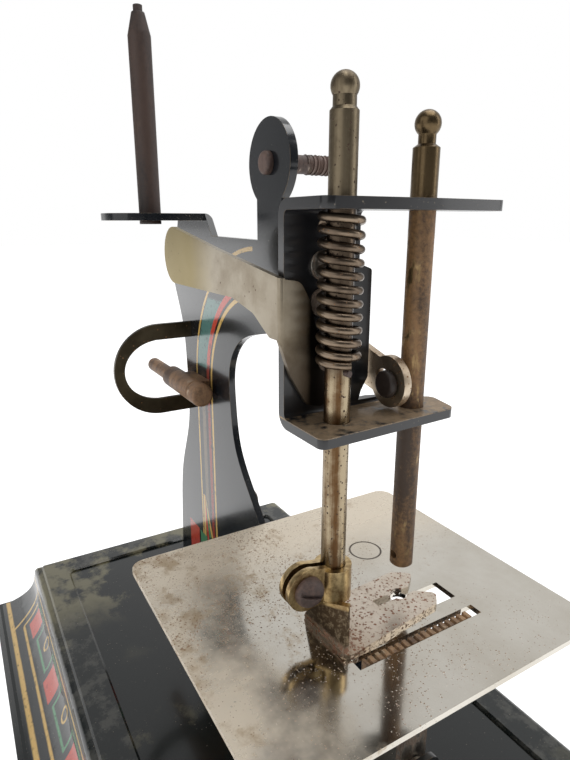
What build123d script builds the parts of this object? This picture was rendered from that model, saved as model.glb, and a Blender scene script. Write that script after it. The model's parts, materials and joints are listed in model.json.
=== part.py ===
from build123d import *
import math
import os

os.makedirs("parts", exist_ok=True)

# Toy sewing machine in stamped tin. Millimetres, +Z up, origin at the centre of the
# base's footprint. +X runs from the pillar to the needle head, +Y towards the far side.

# ---- base pan ----
base_length = 166.0        # over the flared skirt
base_width = 108.0
base_height = 17.8
skirt_flare = 13.8         # how far the skirt stands out beyond the top
tin = 0.6                  # wall of the pan
border_width = 7.0         # raised border round the top
border_rise = 0.8
hem_height = 1.4
hem_wall = 1.3

# ---- body plate, one C-shaped stamping standing along X ----
plate_y = 0.4              # its near face
plate_t = 1.6
pillar_x = -37.0           # middle of the pillar
arm_top = 115.5
throat_z = 52.8            # level where the throat meets the cloth plate
tab_top = 120.5            # spool tab
tab_x = -38.3
tab_width = 17.5
tab_reach = 21.0
disc_x = 1.2
disc_z = 129.0
disc_r = 7.8
disc_neck = 9.4
foot_flange = 11.0

# ---- cloth plate ----
cloth_z = 52.8             # its upper face
cloth_t = 1.0
cloth_x0 = -4.0
cloth_x1 = 54.0
cloth_y0 = -29.3
cloth_y1 = 36.0
cloth_corner = 3.0
feed_slot_x = 40.7
feed_slot_width = 2.4
feed_slot_y0 = -6.6
feed_slot_y1 = 19.9

# ---- head bracket, a channel of two shelves on a web ----
web_x = 26.8               # front face of the web
bracket_t = 1.6
shelf_top = 121.9
shelf_low = 88.0
shelf_depth = 10.4         # shelf in front of the web
web_y0 = -11.3
web_y1 = 2.2
wing_y = 4.7
bend_r = 2.4

# ---- bars ----
bar_r = 2.0
bar_x = 31.4
presser_y = -4.7
needle_y = 10.2
fit = 0.06                 # radial running clearance of every shaft and bar
gap = 0.3                  # air between moving neighbours
needle_bottom = 60.1
needle_shoulder = 129.6
needle_top = 134.3
presser_bottom = 57.0
presser_shoulder = 133.3
presser_top = 137.7
needle_bore_r = 0.5

# ---- presser spring ----
spring_r = 2.9             # to the middle of the wire
wire_r = 0.5
spring_low = 98.6
spring_turns = 11
cross_pin_r = 0.5

# ---- presser foot ----
sole_t = 0.8
sole_x0 = 25.6
sole_x1 = 39.6
sole_y0 = -8.4
sole_y1 = 16.6
needle_slit = 1.6
clamp_z0 = 59.2
clamp_z1 = 65.0
clamp_t = 1.0
neck_width = 11.6          # folded wall between the sole's heel and the clamp
neck_turn = 42.0           # how far the wall is twisted round the bar, degrees
ear_y = -10.4
ear_z = 62.6
ear_r = 3.6
ear_gap = 1.0
foot_screw_r = 1.1
foot_screw_head_r = 2.5

# ---- lifter ----
lifter_t = 0.9
lifter_y = -12.6           # outer face of its arm
lifter_pivot_y = -4.0
lifter_pivot_z = 98.2
lifter_pin_r = 1.2
paddle_x = -15.3
paddle_z = 112.1
paddle_r = 5.6

# ---- needle lever and its rod ----
lever_y = 5.4
lever_t = 1.4
lever_pivot_x = -8.0
lever_pivot_z = 104.0
lever_pin_r = 1.8
stud_z = 94.0
stud_r = 1.3
stud_head_r = 2.2
lever_end_r = 4.2
lever_tail_x = -36.0
rod_t = 1.2
rod_width = 4.6
rod_pin_r = 1.2
rod_turn_z = 60.5          # where the strip is folded square to its foot

# ---- main shaft below the cloth plate ----
shaft_y = 8.6
shaft_z = 42.0
shaft_r = 1.6
shaft_x1 = 33.5
crank_x = -34.0            # rear face of the crank disc, flush with the shaft's end
crank_t = 1.5
crank_r = 6.3
crank_throw = 4.95
bearing_length = 4.0
bearing_xs = (-30.0, 20.0)
looper_reach = 6.0

# ---- feed ----
dog_width = 1.6
dog_y0 = -4.8
dog_y1 = 18.0
dog_top = 52.5
dog_height = 3.4
tooth_pitch = 1.4
tooth_depth = 0.5
feed_pivot_y = 6.6
feed_pivot_z = 26.0
feed_pin_r = 1.0
feed_strip = 1.2

# ---- spool pin, thread-tension screw, loop and winding spindle ----
spool_r = 2.5
spool_y = -9.7
spool_top = 163.5
screw_r = 1.8
screw_end = 19.0
screw_neck_r = 1.5
loop_x = -42.0             # middle of the loop's sheet
loop_t = 1.2
loop_z = 81.8
loop_reach = 20.6
loop_half = 11.8
loop_leg = 4.0
spindle_y = -3.4
spindle_z = 78.0
spindle_r = 1.9            # bare end that takes the winding handle
journal_r = 2.1            # part that runs in the sleeve
sleeve_r = 2.8
sleeve_x0 = -47.2
sleeve_x1 = -30.0
spindle_x0 = -63.5
spindle_head_t = 4.5
spindle_head_r = 2.8
post_x = 16.1
post_y = 14.5
post_r = 3.2

# ---- rivets ----
rivet_r = 1.4
rivet_head_r = 2.6
rivet_head_t = 0.9


def rod_x(x0, x1, y, z, r):
    """Cylinder along X."""
    return Pos((x0 + x1) / 2, y, z) * Rot(0, 90, 0) * Cylinder(r, x1 - x0)


def rod_y(x, y0, y1, z, r):
    """Cylinder along Y."""
    return Pos(x, (y0 + y1) / 2, z) * Rot(90, 0, 0) * Cylinder(r, y1 - y0)


def rod_z(x, y, z0, z1, r):
    """Cylinder along Z."""
    return Pos(x, y, (z0 + z1) / 2) * Cylinder(r, z1 - z0)


def block(x0, x1, y0, y1, z0, z1):
    """Box between two corners."""
    return Pos((x0 + x1) / 2, (y0 + y1) / 2, (z0 + z1) / 2) * Box(x1 - x0, y1 - y0, z1 - z0)


def outline(points, radii=None):
    """Closed face through the points, each corner rounded by its own radius."""
    face = make_face(Polyline(*points, close=True))
    for point, radius in (radii or {}).items():
        corner = points[point]
        near = face.vertices().sort_by_distance((corner[0], corner[1], 0))[0]
        face = fillet(near, radius)
    return face


def sheet_xz(face, y0, y1):
    """Sheet whose outline is drawn in (x, z)."""
    side = Plane(origin=(0, y1, 0), x_dir=(1, 0, 0), z_dir=(0, -1, 0))
    return extrude(side * face, y1 - y0)


def sheet_yz(face, x0, x1):
    """Sheet whose outline is drawn in (y, z)."""
    side = Plane(origin=(x0, 0, 0), x_dir=(0, 1, 0), z_dir=(1, 0, 0))
    return extrude(side * face, x1 - x0)


def sheet_xy(face, z0, z1):
    """Sheet whose outline is drawn in (x, y)."""
    return Pos(0, 0, z0) * extrude(face, z1 - z0)


# ---------------------------------------------------------------- base pan
top_length = base_length - 2 * skirt_flare
top_width = base_width - 2 * skirt_flare


def skirt_out(drop):
    """How far the skirt stands out at a depth below the top: a rounded shoulder, then a flare."""
    shoulder_drop = 2.6
    shoulder_out = 2.0
    if drop < shoulder_drop:
        return shoulder_out * math.sqrt(1 - (1 - drop / shoulder_drop) ** 2)
    share = (drop - shoulder_drop) / (base_height - shoulder_drop)
    return shoulder_out + (skirt_flare - shoulder_out) * share ** 1.9


def skirt_point(drop, inset):
    """Point (out, z) of the skirt's wall, set in from its outer face by an inset."""
    step = 0.01
    rise = step if drop > 0 else 0
    run = skirt_out(drop) - skirt_out(drop - rise)
    length = math.hypot(run, rise) or 1.0
    lean = (rise / length, run / length) if rise else (0.0, 1.0)
    return skirt_out(drop) - inset * lean[0], base_height - drop - inset * lean[1]


def skirt_section():
    """Wall of the skirt in (out, z), with its folded hem."""
    shoulder = [0, 0.35, 1.2, 2.6]
    flare = [2.6 + (base_height - 2.6) * share for share in (0.25, 0.5, 0.75)]
    outer = [skirt_point(drop, 0) for drop in shoulder + flare] + [(skirt_flare, 0)]
    inner_drops = shoulder + flare + [base_height - hem_height - 0.8]
    inner = [skirt_point(drop, tin) for drop in reversed(inner_drops)]
    hem = [(skirt_flare, 0), (skirt_flare - hem_wall, 0), (skirt_flare - hem_wall, hem_height),
           inner[0]]
    closing = Polyline(inner[-1], outer[0])
    return make_face(Curve() + [Spline(*outer), Polyline(*hem), Spline(*inner), closing])


def make_skirt():
    """The wall section run round the top's outline with mitred corners."""
    x = top_length / 2
    y = top_width / 2
    path = Polyline((0, -y), (x, -y), (x, y), (-x, y), (-x, -y), (0, -y))
    side = Plane(origin=(0, -y, 0), x_dir=(0, -1, 0), z_dir=(-1, 0, 0))
    return sweep(side * skirt_section(), path=path, transition=Transition.RIGHT)


def make_base_pan():
    border = RectangleRounded(top_length, top_width, 0.8)
    panel = RectangleRounded(top_length - 2 * border_width, top_width - 2 * border_width, 1.5)
    ridge = sheet_xy(border - panel, base_height - tin / 2, base_height + border_rise)
    ridge = chamfer(ridge.faces().sort_by(Axis.Z)[-1].edges(), border_rise * 0.6)
    pan = make_skirt() + block(-top_length / 2, top_length / 2, -top_width / 2, top_width / 2,
                               base_height - tin, base_height)
    pan = pan + ridge
    for x in foot_rivet_xs:
        pan -= rod_z(x, foot_rivet_y, 0, base_height + 1, rivet_r)
    pan -= rod_z(post_x, post_y, 0, base_height + 1, rivet_r)
    for y in feed_rivet_ys:
        pan -= rod_z(feed_rivet_x, y, 0, base_height + 1, rivet_r)
    return pan


# ---------------------------------------------------------------- body plate
foot_rivet_xs = (pillar_x - 12, pillar_x + 18)
foot_rivet_y = plate_y + plate_t + foot_flange / 2
lower_arm_front = 37.0
lower_arm_low = 36.0
tab_x0 = tab_x - tab_width / 2
tab_x1 = tab_x + tab_width / 2
web_back = web_x - bracket_t
front_tab_y = web_y0 + 2.3


def plate_face():
    """The C outline in (x, z): foot, pillar, arm, disc tab, throat and lower arm."""
    cloth_low = cloth_z - cloth_t
    foot_rear = (pillar_x - 20, base_height)
    rear = [foot_rear, (pillar_x - 18.6, base_height + 16), (pillar_x - 15.6, 50),
            (pillar_x - 8.9, 66), (pillar_x - 8.6, 80), (pillar_x - 10.2, 92),
            (pillar_x - 14.5, 101), (pillar_x - 17.4, 107.8)]
    throat = [(web_back - bracket_t, 102.2), (7, 98.6), (-3, 96.6), (-12.7, 93.2),
              (pillar_x + 19.2, 87), (pillar_x + 18.8, 77), (pillar_x + 21.0, 67),
              (-9.5, 58.5), (cloth_x0 - gap, throat_z)]
    edges = [
        Spline(*rear),
        Polyline(rear[-1], (tab_x0 - 2.4, 113.5), (tab_x0, tab_top), (tab_x1, tab_top),
                 (tab_x1 + 3.6, arm_top), (disc_x - disc_neck / 2, arm_top - 0.3),
                 (disc_x - disc_neck / 2, disc_z), (disc_x + disc_neck / 2, disc_z),
                 (disc_x + disc_neck / 2, arm_top), throat_start_top(), throat[0]),
        Spline(*throat),
        Polyline(throat[-1], (cloth_x0 - gap, cloth_low), (lower_arm_front, cloth_low),
                 (lower_arm_front, cloth_low - 7), (lower_arm_front - 4, lower_arm_low),
                 (2, lower_arm_low)),
        Spline((2, lower_arm_low), (-6, 30), (-10, base_height)),
        Polyline((-10, base_height), foot_rear),
    ]
    face = make_face(Curve() + edges)
    disc = Pos(disc_x, disc_z) * Circle(disc_r)
    return face + disc


def throat_start_top():
    """Upper corner of the arm where it is folded against the web."""
    return (web_back - bracket_t, arm_top)


def make_body_plate():
    far = plate_y + plate_t
    body = sheet_xz(plate_face(), plate_y, far)
    tab = RectangleRounded(tab_width, tab_reach + plate_t, tab_width / 2 - 1.2)
    tab_body = Pos(tab_x, far - (tab_reach + plate_t) / 2, 0) * tab
    square = Pos(tab_x, far - 4) * Rectangle(tab_width, 8)
    body += sheet_xy(tab_body + square, tab_top - plate_t, tab_top)
    outer = body.edges().filter_by(Axis.X).sort_by_distance((tab_x, far, tab_top))[0]
    body = fillet(outer, 1.5)
    body += block(web_back - bracket_t, web_back, front_tab_y, far, 103, arm_top)
    body += block(foot_rivet_xs[0] - 7, foot_rivet_xs[1] + 7, far, far + foot_flange,
                  base_height, base_height + plate_t)
    for x in foot_rivet_xs:
        body -= rod_z(x, foot_rivet_y, base_height - 1, base_height + 3, rivet_r)
    for z in head_rivet_zs:
        body -= rod_x(web_back - 4, web_back + 1, presser_y, z, rivet_r)
    body -= rod_z(tab_x, spool_y, tab_top - 3, tab_top + 1, spool_r * 0.6)
    body -= rod_y(disc_x, plate_y - 1, far + 1, disc_z, screw_neck_r)
    body -= rod_y(lever_pivot_x, plate_y - 1, far + 1, lever_pivot_z, lever_pin_r)
    return body


# ---------------------------------------------------------------- head bracket
head_rivet_zs = (107.0, 112.5)
shelf_front = web_x + shelf_depth


def make_head_bracket():
    back = web_back
    profile = [(shelf_front, shelf_top), (back, shelf_top), (back, shelf_low),
               (shelf_front, shelf_low), (shelf_front, shelf_low + bracket_t),
               (web_x, shelf_low + bracket_t), (web_x, shelf_top - bracket_t),
               (shelf_front, shelf_top - bracket_t)]
    inner_r = bend_r - bracket_t
    channel_face = outline(profile, {1: bend_r, 2: bend_r, 5: inner_r, 6: inner_r})
    channel = sheet_xz(channel_face, web_y0, 28)
    upper = outline([(back, web_y0), (shelf_front, web_y0), (shelf_front, 8.0), (36.2, 22.0),
                     (32.4, 26.6), (28.6, 22.0), (28.2, web_y1), (back, web_y1)],
                    {1: 1.5, 3: 2.5, 4: 3.0, 5: 2.5})
    lower = outline([(back, web_y0), (shelf_front, web_y0), (36.0, 15.4), (29.4, 16.8),
                     (back, 5.6)], {1: 1.2, 2: 1.5, 3: 1.5, 4: 1.0})
    web = outline([(web_y0, shelf_low), (web_y1, shelf_low), (3.4, 92.0), (wing_y, 94.2),
                   (wing_y, 111.6), (web_y1, 112.5), (web_y1, shelf_top), (web_y0, shelf_top)],
                  {4: 0.6, 5: 0.6})
    split_low = shelf_low + bend_r
    split_top = shelf_top - bend_r
    bracket = channel & sheet_xy(upper, split_top, shelf_top)
    bracket += channel & sheet_yz(web, back, web_x) & block(
        back, web_x, web_y0, wing_y, split_low, split_top)
    bracket += channel & sheet_xy(lower, shelf_low, split_low)
    for y in (presser_y, needle_y):
        bracket -= rod_z(bar_x, y, shelf_low - 1, shelf_top + 1, bar_r + fit)
    for z in head_rivet_zs:
        bracket -= rod_x(back - 1, web_x + 1, presser_y, z, rivet_r)
    bracket -= rod_x(back - 1, web_x + 1, lifter_pivot_y, lifter_pivot_z, lifter_pin_r)
    return bracket


def make_head_rivets():
    heads = []
    for z in head_rivet_zs:
        low = web_back - bracket_t
        rivet = rod_x(low, web_x, presser_y, z, rivet_r)
        rivet += rod_x(low - rivet_head_t, low, presser_y, z, rivet_head_r - 0.4)
        rivet += rod_x(web_x, web_x + 0.5, presser_y, z, rivet_head_r - 0.4)
        heads.append(rivet)
    return Compound(children=heads)


# ---------------------------------------------------------------- bars
def ball_bar(y, bottom, shoulder, top, neck_r):
    """Round bar with a turned neck and ball at its top."""
    ball_r = bar_r * 0.97
    neck_z = top - 2 * ball_r + 0.2
    bar = rod_z(bar_x, y, bottom, shoulder - 0.5, bar_r)
    bar = chamfer(bar.faces().sort_by(Axis.Z)[0].edges(), 0.3)
    cone = Pos(bar_x, y, shoulder - 0.25) * Cone(bar_r, neck_r, 0.5)
    neck = rod_z(bar_x, y, shoulder, neck_z + 0.6, neck_r)
    ball = Pos(bar_x, y, top - ball_r) * Sphere(ball_r)
    return bar + cone + neck + ball


def make_needle_bar():
    bar = ball_bar(needle_y, needle_bottom, needle_shoulder, needle_top, 1.3)
    bar -= rod_z(bar_x, needle_y, needle_bottom - 1, needle_bottom + 8, needle_bore_r)
    bar -= rod_y(bar_x, needle_y - bar_r - 1, needle_y, needle_bottom + 2.2, 0.75)
    bar -= rod_y(bar_x, needle_y - bar_r - 1, needle_y - bar_r + 1, stud_z, stud_r)
    return bar


def make_needle_stud():
    """Stud screwed into the needle bar, its head holding the lever on."""
    head_y = lever_y - gap
    stud = rod_y(bar_x, head_y, needle_y - bar_r + 1, stud_z, stud_r)
    head = rod_y(bar_x, head_y - 1.1, head_y, stud_z, stud_head_r)
    head = fillet(head.edges().sort_by(Axis.Y)[0], 0.6)
    return stud + head


def make_presser_bar():
    bar = ball_bar(presser_y, presser_bottom, presser_shoulder, presser_top, 1.6)
    return bar - rod_x(bar_x - 5, bar_x + 5, presser_y, pin_z, cross_pin_r)


pin_z = spring_low - wire_r - cross_pin_r - 0.1
spring_height = shelf_top - bracket_t - wire_r - 0.1 - spring_low


def make_cross_pin():
    return rod_x(bar_x - spring_r, bar_x + spring_r, presser_y, pin_z, cross_pin_r)


def make_presser_spring():
    path = Helix(pitch=spring_height / spring_turns, height=spring_height, radius=spring_r)
    section = Plane(origin=path @ 0, z_dir=path % 0) * Circle(wire_r)
    return Pos(bar_x, presser_y, spring_low) * sweep(section, path=path)


# ---------------------------------------------------------------- presser foot
def make_presser_foot():
    slit_x = bar_x
    half = needle_slit / 2
    sole = outline([(sole_x0 + 1.4, sole_y0 + 0.4), (sole_x1, sole_y0 + 1.0),
                    (sole_x1 - 2.7, sole_y1 - 2.4), (sole_x1 - 5.0, sole_y1 - 0.4),
                    (slit_x + half, sole_y1 - 3.4), (slit_x + half, needle_y - 5.5),
                    (slit_x - half, needle_y - 5.5), (slit_x - half, sole_y1 - 3.4),
                    (sole_x0 + 2.2, sole_y1), (sole_x0, sole_y1 - 3.4)],
                   {0: 1.6, 1: 1.6, 2: 1.2, 3: 0.8, 8: 0.8, 9: 1.2})
    needle_clear = Pos(bar_x, needle_y) * Circle(1.5)
    foot = sheet_xy(sole - needle_clear, cloth_z, cloth_z + sole_t)
    band_r = bar_r + fit + clamp_t
    heel_x = (sole_x0 + sole_x1) / 2 + 0.5
    neck_low = Pos(heel_x, sole_y0 + 1.3, cloth_z + sole_t / 2) * Rectangle(neck_width, clamp_t)
    lean = Pos(bar_x, presser_y, clamp_z0 + 0.3) * Rot(0, 0, neck_turn)
    neck_top = lean * Pos(0.6, -(bar_r + clamp_t / 2 + 0.15)) * Rectangle(neck_width / 2, clamp_t)
    foot += loft([neck_low, neck_top])
    foot += rod_z(bar_x, presser_y, clamp_z0, clamp_z1, band_r)
    ear_face = Pos(ear_y, ear_z) * Circle(ear_r)
    ear_face += outline([(ear_y, clamp_z0), (presser_y, clamp_z0), (presser_y, clamp_z1),
                         (ear_y, ear_z + ear_r)])
    half_ear = ear_gap / 2 + clamp_t
    foot += sheet_yz(ear_face, bar_x - half_ear, bar_x + half_ear)
    foot -= block(bar_x - ear_gap / 2, bar_x + ear_gap / 2, ear_y - ear_r - 1, presser_y,
                  clamp_z0 - 1, clamp_z1 + 2)
    foot -= rod_z(bar_x, presser_y, presser_bottom - 0.5, clamp_z1 + 3, bar_r + fit)
    foot -= rod_x(bar_x - 5, bar_x + 5, ear_y, ear_z, foot_screw_r)
    return foot


def make_foot_screw():
    low = bar_x - ear_gap / 2 - clamp_t
    high = bar_x + ear_gap / 2 + clamp_t
    screw = rod_x(low - 0.8, high, ear_y, ear_z, foot_screw_r)
    head = rod_x(high, high + 1.9, ear_y, ear_z, foot_screw_head_r)
    head = fillet(head.edges().sort_by(Axis.X)[-1], 1.6)
    slot = Pos(high + 2.1, ear_y, ear_z) * Rot(-20, 0, 0) * Box(1.8, 8, 0.7)
    return screw + (head - slot)


# ---------------------------------------------------------------- lifter
def make_lifter_lever():
    """Strip lever: a paddle arm outside the bracket, folded into a leg that lies on the web."""
    inner_x = web_x + 0.1
    outer_x = inner_x + lifter_t
    arm = outline([(paddle_x, paddle_z + paddle_r), (6, 114.2), (outer_x, 111.0),
                   (outer_x, 102.0), (inner_x - 2.2, 102.0), (19.5, 105.0), (12, 106.6),
                   (paddle_x, paddle_z - paddle_r)], {4: 1.6, 1: 20, 5: 3.0})
    arm += Pos(paddle_x, paddle_z) * Circle(paddle_r)
    lever = sheet_xz(arm, lifter_y, lifter_y + lifter_t)
    leg = outline([(lifter_y, 111.0), (-9.0, 110.4), (-7.3, 107.4), (-6.4, 103.6),
                   (lifter_pivot_y - 0.8, 101.6), (lifter_pivot_y + 2.2, 101.2),
                   (lifter_pivot_y + 3.0, lifter_pivot_z), (-1.8, 94.0), (-5.0, 90.9),
                   (-7.8, 91.6), (-10.7, 96.5), (lifter_y, 102.0)],
                  {1: 2.0, 5: 1.5, 8: 1.0, 9: 1.2})
    lever += sheet_yz(leg, inner_x, outer_x)
    fold = lever.edges().filter_by(Axis.Z).sort_by_distance((outer_x, lifter_y, 106))[0]
    lever = fillet(fold, lifter_t * 0.85)
    lever -= rod_x(inner_x - 1, outer_x + 1, lifter_pivot_y, lifter_pivot_z, lifter_pin_r + fit)
    return lever - lifter_countersink(fit)


def lifter_countersink(ease):
    """Countersunk head that lies flush in the leg, so that it clears the spring."""
    high = web_x + 0.1 + lifter_t
    depth = lifter_t * 0.7
    head = Cone(lifter_pin_r + ease, lifter_pin_r + depth + ease, depth)
    return Pos(high - depth / 2, lifter_pivot_y, lifter_pivot_z) * Rot(0, 90, 0) * head


def make_lifter_pin():
    low = web_back
    high = web_x + 0.1 + lifter_t
    pin = rod_x(low, high, lifter_pivot_y, lifter_pivot_z, lifter_pin_r)
    pin += lifter_countersink(0)
    return pin + rod_x(low - 0.8, low, lifter_pivot_y, lifter_pivot_z, lifter_pin_r + 0.8)


# ---------------------------------------------------------------- needle lever
lever_slope = math.atan2(stud_z - lever_pivot_z, bar_x - lever_pivot_x)
stud_reach = math.hypot(stud_z - lever_pivot_z, bar_x - lever_pivot_x)
tail_reach = (lever_pivot_x - lever_tail_x) / math.cos(lever_slope)


def make_needle_lever():
    """Rocking lever, drawn level about its pivot and then tilted."""
    near = stud_reach - 1.5
    arm = outline([(-tail_reach, -2.6), (0, -4.0), (near, -3.0), (near, 3.0), (0, 4.0),
                   (-tail_reach, 2.6)], {1: 30, 4: 30})
    arm += Pos(near + 0.9, 0) * Circle(lever_end_r)
    arm += Pos(-tail_reach, 0) * Circle(2.6)
    slot = Pos(near + 0.6, 0) * SlotCenterToCenter(1.9, 2 * (stud_r + gap))
    arm = arm - slot - Circle(lever_pin_r + fit)
    arm -= Pos(-tail_reach, 0) * Circle(rod_pin_r + fit)
    tilted = Pos(lever_pivot_x, lever_pivot_z) * Rot(0, 0, math.degrees(lever_slope)) * arm
    return sheet_xz(tilted, lever_y, lever_y + lever_t)


def make_lever_pivot():
    """Shouldered stud riveted flush in the body plate."""
    far = plate_y + plate_t
    pivot = rod_y(lever_pivot_x, plate_y, lever_y + lever_t + 0.1, lever_pivot_z, lever_pin_r)
    pivot += rod_y(lever_pivot_x, far, lever_y - 0.1, lever_pivot_z, lever_pin_r + 1.2)
    cap_y = lever_y + lever_t + 0.1
    return pivot + rod_y(lever_pivot_x, cap_y, cap_y + 1.0, lever_pivot_z, lever_pin_r + 1.2)


tail_z = lever_pivot_z + tail_reach * math.sin(-lever_slope)
rod_y0 = lever_y + lever_t + 0.2
rod_foot_z = shaft_z + crank_throw
rod_foot_x = crank_x - crank_t - gap


def make_lever_rod():
    """Strip rod hung from the lever's tail, its foot turned to face the crank."""
    eye_r = rod_width / 2
    strip = outline([(lever_tail_x - eye_r, rod_turn_z), (lever_tail_x + eye_r, rod_turn_z),
                     (lever_tail_x + eye_r, tail_z), (lever_tail_x - eye_r, tail_z)])
    strip += Pos(lever_tail_x, tail_z) * Circle(eye_r)
    strip -= Pos(lever_tail_x, tail_z) * Circle(rod_pin_r + fit)
    rod = sheet_xz(strip, rod_y0, rod_y0 + rod_t)
    foot = outline([(shaft_y - eye_r, rod_foot_z), (shaft_y + eye_r, rod_foot_z),
                    (shaft_y + eye_r, rod_turn_z + eye_r), (shaft_y - eye_r, rod_turn_z + eye_r)])
    foot += Pos(shaft_y, rod_foot_z) * Circle(eye_r)
    foot -= Pos(shaft_y, rod_foot_z) * Circle(1.5)
    return rod + sheet_yz(foot, rod_foot_x - rod_t, rod_foot_x)


def make_rod_pin():
    y0 = lever_y - 0.1
    y1 = rod_y0 + rod_t + 0.1
    pin = rod_y(lever_tail_x, y0, y1, tail_z, rod_pin_r)
    pin += rod_y(lever_tail_x, y0 - 0.8, y0, tail_z, rod_pin_r + 0.9)
    return pin + rod_y(lever_tail_x, y1, y1 + 0.8, tail_z, rod_pin_r + 0.9)


# ---------------------------------------------------------------- main shaft and looper
def make_main_shaft():
    shaft = rod_x(crank_x, shaft_x1, shaft_y, shaft_z, shaft_r)
    return chamfer(shaft.edges().filter_by(GeomType.CIRCLE), 0.3)


def make_crank_disc():
    disc = rod_x(crank_x, crank_x + crank_t, shaft_y, shaft_z, crank_r)
    disc -= rod_x(crank_x - 1, crank_x + crank_t + 1, shaft_y, shaft_z, shaft_r)
    pin = rod_x(crank_x - crank_t + gap, crank_x, shaft_y, rod_foot_z, 1.1)
    return disc + pin


def make_looper():
    """Hub on the shaft's nose with a curved hook that sweeps under the needle."""
    hub = rod_x(shaft_x1 - 5, shaft_x1 - 1, shaft_y, shaft_z, 3.2)
    hook_face = Circle(looper_reach) - Circle(looper_reach - 1.2) - Pos(0, -looper_reach) * Rectangle(
        3 * looper_reach, 2 * looper_reach)
    hook_face += Pos(-looper_reach + 1.9, 1.2) * Rectangle(3.2, 2.4)
    hub += sheet_yz(Pos(shaft_y, shaft_z) * hook_face, shaft_x1 - 3.4, shaft_x1 - 2.0)
    return hub - rod_x(shaft_x1 - 6, shaft_x1 + 1, shaft_y, shaft_z, shaft_r)


def make_bearing(x):
    """Folded bearing lug standing off the far face of the body plate."""
    far = plate_y + plate_t
    lug = block(x, x + bearing_length, far, shaft_y, shaft_z - 3.4, shaft_z + 3.4)
    lug += rod_x(x, x + bearing_length, shaft_y, shaft_z, 3.4)
    return lug - rod_x(x - 1, x + bearing_length + 1, shaft_y, shaft_z, shaft_r + fit)


# ---------------------------------------------------------------- feed
feed_rivet_x = feed_slot_x + 7.5
feed_rivet_ys = (feed_pivot_y - 5, feed_pivot_y + 5)
strip_x0 = feed_slot_x - feed_strip / 2
strip_x1 = feed_slot_x + feed_strip / 2
cheek_x = strip_x1 + 1.4


def make_feed_dog():
    x0 = feed_slot_x - dog_width / 2
    dog = block(x0, x0 + dog_width, dog_y0, dog_y1, dog_top - dog_height, dog_top)
    count = int((dog_y1 - dog_y0) / tooth_pitch)
    for i in range(count):
        y = dog_y0 + (i + 0.5) * tooth_pitch
        notch = make_face(Polyline((y - 0.4, dog_top + 0.1), (y + 0.4, dog_top + 0.1),
                                   (y + 0.25, dog_top - tooth_depth), close=True))
        dog -= sheet_yz(notch, x0 - 1, x0 + dog_width + 1)
    return dog


def make_feed_lever():
    low = dog_top - dog_height
    strip = outline([(feed_pivot_y - 3, feed_pivot_z), (feed_pivot_y + 3, feed_pivot_z),
                     (feed_pivot_y + 3, 42), (dog_y1 - 3, low), (dog_y0 + 3, low),
                     (feed_pivot_y - 3, 42)], {2: 4, 5: 4})
    strip += Pos(feed_pivot_y, feed_pivot_z) * Circle(3)
    strip -= Pos(feed_pivot_y, feed_pivot_z) * Circle(feed_pin_r + fit)
    return sheet_yz(strip, strip_x0, strip_x1)


def make_feed_bracket():
    cheek = outline([(feed_pivot_y - 8, base_height), (feed_pivot_y + 8, base_height),
                     (feed_pivot_y + 3, feed_pivot_z + 3), (feed_pivot_y - 3, feed_pivot_z + 3)],
                    {2: 2, 3: 2})
    bracket = sheet_yz(cheek, cheek_x, cheek_x + feed_strip)
    bracket += block(cheek_x, feed_rivet_x + 3.5, feed_pivot_y - 8, feed_pivot_y + 8,
                     base_height, base_height + feed_strip)
    bracket -= rod_x(cheek_x - 1, cheek_x + 3, feed_pivot_y, feed_pivot_z, feed_pin_r)
    for y in feed_rivet_ys:
        bracket -= rod_z(feed_rivet_x, y, base_height - 1, base_height + 3, rivet_r)
    return bracket


def make_feed_pin():
    pin = rod_x(strip_x0 - 0.2, cheek_x + feed_strip, feed_pivot_y, feed_pivot_z, feed_pin_r)
    pin += rod_x(strip_x1 + 0.2, cheek_x, feed_pivot_y, feed_pivot_z, feed_pin_r + 0.9)
    return pin + rod_x(strip_x0 - 1.1, strip_x0 - 0.2, feed_pivot_y, feed_pivot_z, feed_pin_r + 0.9)


def base_rivet(x, y, grip):
    """Rivet through the base top and a sheet that lies on it."""
    low = base_height - tin
    high = base_height + grip
    rivet = rod_z(x, y, low, high, rivet_r)
    rivet += rod_z(x, y, low - rivet_head_t, low, rivet_head_r)
    head = rod_z(x, y, high, high + rivet_head_t, rivet_head_r)
    return rivet + chamfer(head.edges().sort_by(Axis.Z)[-1], 0.4)


def make_foot_rivets():
    return Compound(children=[base_rivet(x, foot_rivet_y, plate_t) for x in foot_rivet_xs])


def make_feed_rivets():
    return Compound(children=[base_rivet(feed_rivet_x, y, feed_strip) for y in feed_rivet_ys])


# ---------------------------------------------------------------- cloth plate and its post
def make_cloth_plate():
    length = cloth_x1 - cloth_x0
    width = cloth_y1 - cloth_y0
    face = Pos(cloth_x0 + length / 2, cloth_y0 + width / 2) * RectangleRounded(
        length, width, cloth_corner)
    slot_length = feed_slot_y1 - feed_slot_y0
    face -= Pos(feed_slot_x, feed_slot_y0 + slot_length / 2) * Rectangle(feed_slot_width, slot_length)
    face -= Pos(34.0, 14.0) * Rectangle(4.8, 10.6)
    face -= Pos(bar_x, needle_y) * Circle(1.5)
    face -= Pos(post_x, post_y) * Circle(post_r)
    return sheet_xy(face, cloth_z - cloth_t, cloth_z)


def make_plate_post():
    """Stepped post: riveted through the base, its head flush in the cloth plate."""
    post = rod_z(post_x, post_y, base_height, cloth_z, post_r)
    post += rod_z(post_x, post_y, base_height - tin, base_height, rivet_r)
    return post + rod_z(post_x, post_y, base_height - tin - rivet_head_t, base_height - tin, rivet_head_r)


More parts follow.
